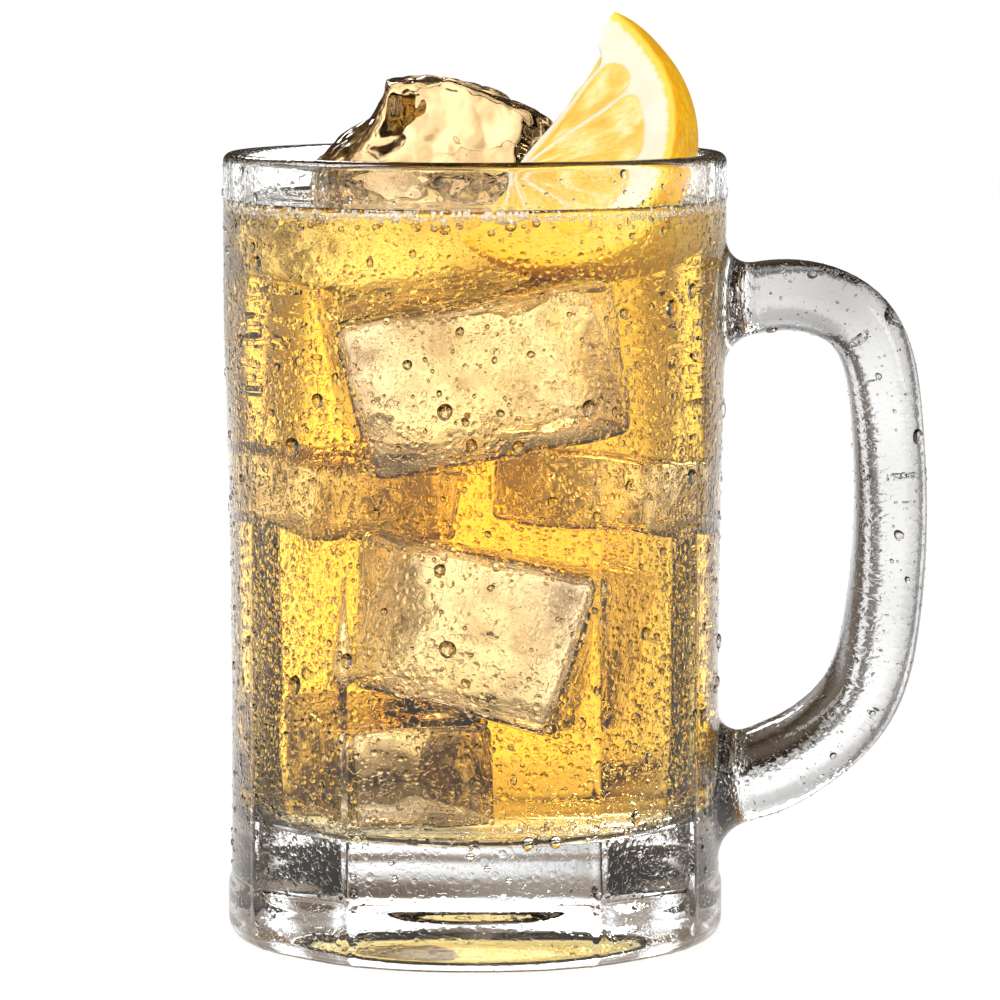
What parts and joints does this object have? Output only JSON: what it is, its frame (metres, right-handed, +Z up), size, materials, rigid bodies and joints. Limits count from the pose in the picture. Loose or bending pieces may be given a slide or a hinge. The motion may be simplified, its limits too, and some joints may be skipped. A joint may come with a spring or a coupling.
{
  "type": "highball in a handled glass mug",
  "caption": "Whisky highball with ice and a lemon wedge in a tall clear glass mug with a loop handle, thick base and shallow upright panels.",
  "frame": {"origin": "centre of the mug's flat underside, on the mug's axis", "axes": "+Z up along the mug's axis, +X towards the handle, -Y towards the front"},
  "size_m": [0.1165, 0.083, 0.1517],
  "materials": {
    "mug_glass": "clear pressed glass, wet with condensation",
    "drink": "clear pale amber liquid",
    "ice": "clear melting ice with a frosted core",
    "lemon": "cut lemon flesh with white pith and a waxy yellow rind"
  },
  "bodies": {
    "root": {"mug": "mug_glass", "drink": "drink", "ice_top": "ice", "lemon_wedge": "lemon"}
  },
  "joints": []
}
